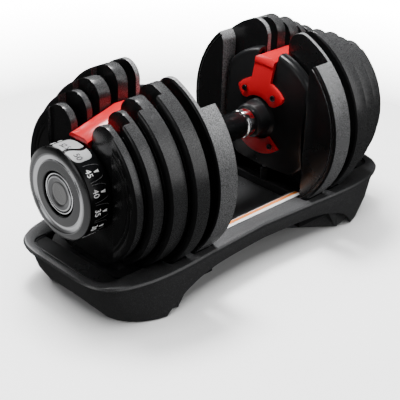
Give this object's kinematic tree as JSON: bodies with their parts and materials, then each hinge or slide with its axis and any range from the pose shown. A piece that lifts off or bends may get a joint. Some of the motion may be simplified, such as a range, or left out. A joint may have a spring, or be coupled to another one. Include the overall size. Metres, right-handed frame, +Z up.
{
  "type": "adjustable dumbbell with cradle",
  "caption": "Adjustable dumbbell with slotted plates, end dials that pick the plates up, a red bridge on each side and a floor cradle",
  "frame": {"origin": "centre of the bounding box in X and Y, on the floor in Z", "axes": "+X along the handle towards the right-hand stack, +Y across it towards the back, +Z up"},
  "size_m": [0.412, 0.2, 0.2154],
  "materials": {
    "tray_plastic": "fine-grained moulded plastic",
    "deck_plastic": "smooth satin plastic",
    "rack_plastic": "plain black plastic",
    "fastener_steel": "blackened steel",
    "pad_rubber": "soft rubber",
    "shaft_steel": "turned steel",
    "grip_plastic": "soft satin plastic",
    "collar_chrome": "polished chrome",
    "cover_plastic": "satin plastic with a fine grain",
    "red_paint": "satin powder coat",
    "selector_plastic": "glass-filled nylon",
    "dial_black": "satin plastic",
    "dial_silver": "satin grey metal",
    "plate_coat": "textured coating over steel"
  },
  "bodies": {
    "cradle": {"cradle_tray": "tray_plastic", "bay_tub": "deck_plastic", "end_deck_left": "deck_plastic", "end_deck_right": "deck_plastic", "plate_rack_left": "rack_plastic", "plate_rack_right": "rack_plastic", "pedestal_left": "tray_plastic", "pedestal_right": "tray_plastic", "release_posts": "rack_plastic", "cradle_screws": "fastener_steel", "rubber_pads": "pad_rubber"},
    "handle": {"main_shaft": "shaft_steel", "grip_shell_upper": "grip_plastic", "grip_shell_lower": "grip_plastic", "collar_left": "collar_chrome", "collar_right": "collar_chrome", "inner_cover_left": "cover_plastic", "inner_cover_right": "cover_plastic", "cover_back_left": "cover_plastic", "cover_back_right": "cover_plastic", "bridge_left": "red_paint", "bridge_right": "red_paint", "lower_bracket_left": "red_paint", "lower_bracket_right": "red_paint", "bracket_screws_left": "fastener_steel", "bracket_screws_right": "fastener_steel", "shaft_nut_left": "shaft_steel", "shaft_nut_right": "shaft_steel"},
    "dial_left": {"spindle_left": "shaft_steel", "index_wheel_left": "selector_plastic", "selector_disc_1_left": "selector_plastic", "selector_disc_2_left": "selector_plastic", "selector_disc_34_left": "selector_plastic", "selector_disc_5_left": "selector_plastic", "dial_drum_left": "dial_black", "dial_bezel_left": "dial_silver", "dial_cap_left": "dial_silver"},
    "lock_left": {"lock_pin_left": "shaft_steel", "lock_spring_left": "fastener_steel"},
    "weight_left_1": {"plate_1_left": "plate_coat"},
    "weight_left_2": {"plate_2_left": "plate_coat"},
    "weight_left_3": {"plate_3_left": "plate_coat"},
    "weight_left_4": {"plate_4_left": "plate_coat"},
    "weight_left_5": {"plate_5_left": "plate_coat"},
    "dial_right": {"spindle_right": "shaft_steel", "index_wheel_right": "selector_plastic", "selector_disc_1_right": "selector_plastic", "selector_disc_2_right": "selector_plastic", "selector_disc_34_right": "selector_plastic", "selector_disc_5_right": "selector_plastic", "dial_drum_right": "dial_black", "dial_bezel_right": "dial_silver", "dial_cap_right": "dial_silver"},
    "lock_right": {"lock_pin_right": "shaft_steel", "lock_spring_right": "fastener_steel"},
    "weight_right_1": {"plate_1_right": "plate_coat"},
    "weight_right_2": {"plate_2_right": "plate_coat"},
    "weight_right_3": {"plate_3_right": "plate_coat"},
    "weight_right_4": {"plate_4_right": "plate_coat"},
    "weight_right_5": {"plate_5_right": "plate_coat"}
  },
  "joints": [
    {"name": "lift", "type": "slide", "parent": "cradle", "child": "handle", "axis": [0, 0, 1], "range_m": [0, 0.2]},
    {"name": "lift_left_1", "type": "slide", "parent": "cradle", "child": "weight_left_1", "axis": [0, 0, 1], "range_m": [0, 0.2]},
    {"name": "lift_left_2", "type": "slide", "parent": "cradle", "child": "weight_left_2", "axis": [0, 0, 1], "range_m": [0, 0.2]},
    {"name": "lift_left_3", "type": "slide", "parent": "cradle", "child": "weight_left_3", "axis": [0, 0, 1], "range_m": [0, 0.2]},
    {"name": "lift_left_4", "type": "slide", "parent": "cradle", "child": "weight_left_4", "axis": [0, 0, 1], "range_m": [0, 0.2]},
    {"name": "lift_left_5", "type": "slide", "parent": "cradle", "child": "weight_left_5", "axis": [0, 0, 1], "range_m": [0, 0.2]},
    {"name": "dial_turn_left", "type": "hinge", "parent": "handle", "child": "dial_left", "pos_m": [-0.186, 0, 0.1215], "axis": [-1, 0, 0], "range_deg": [0, 336]},
    {"name": "lock_drop_left", "type": "slide", "parent": "handle", "child": "lock_left", "axis": [0, 0, 1], "range_m": [-0.005, 0], "deforming": ["lock_spring_left"]},
    {"name": "lift_right_1", "type": "slide", "parent": "cradle", "child": "weight_right_1", "axis": [0, 0, 1], "range_m": [0, 0.2]},
    {"name": "lift_right_2", "type": "slide", "parent": "cradle", "child": "weight_right_2", "axis": [0, 0, 1], "range_m": [0, 0.2]},
    {"name": "lift_right_3", "type": "slide", "parent": "cradle", "child": "weight_right_3", "axis": [0, 0, 1], "range_m": [0, 0.2]},
    {"name": "lift_right_4", "type": "slide", "parent": "cradle", "child": "weight_right_4", "axis": [0, 0, 1], "range_m": [0, 0.2]},
    {"name": "lift_right_5", "type": "slide", "parent": "cradle", "child": "weight_right_5", "axis": [0, 0, 1], "range_m": [0, 0.2]},
    {"name": "dial_turn_right", "type": "hinge", "parent": "handle", "child": "dial_right", "pos_m": [0.186, 0, 0.1215], "axis": [-1, 0, 0], "range_deg": [0, 336]},
    {"name": "lock_drop_right", "type": "slide", "parent": "handle", "child": "lock_right", "axis": [0, 0, 1], "range_m": [-0.005, 0], "deforming": ["lock_spring_right"]}
  ],
  "couplings": [
    {"joint": "lift_left_1", "follows": "lift", "ratio": 1},
    {"joint": "lift_left_2", "follows": "lift", "ratio": 1},
    {"joint": "lift_left_3", "follows": "lift", "ratio": 1},
    {"joint": "lift_left_4", "follows": "lift", "ratio": 1},
    {"joint": "lift_left_5", "follows": "lift", "ratio": 1},
    {"joint": "lock_drop_left", "follows": "lift", "ratio": -0.025},
    {"joint": "lift_right_1", "follows": "lift", "ratio": 1},
    {"joint": "lift_right_2", "follows": "lift", "ratio": 1},
    {"joint": "lift_right_3", "follows": "lift", "ratio": 1},
    {"joint": "lift_right_4", "follows": "lift", "ratio": 1},
    {"joint": "lift_right_5", "follows": "lift", "ratio": 1},
    {"joint": "lock_drop_right", "follows": "lift", "ratio": -0.025}
  ]
}
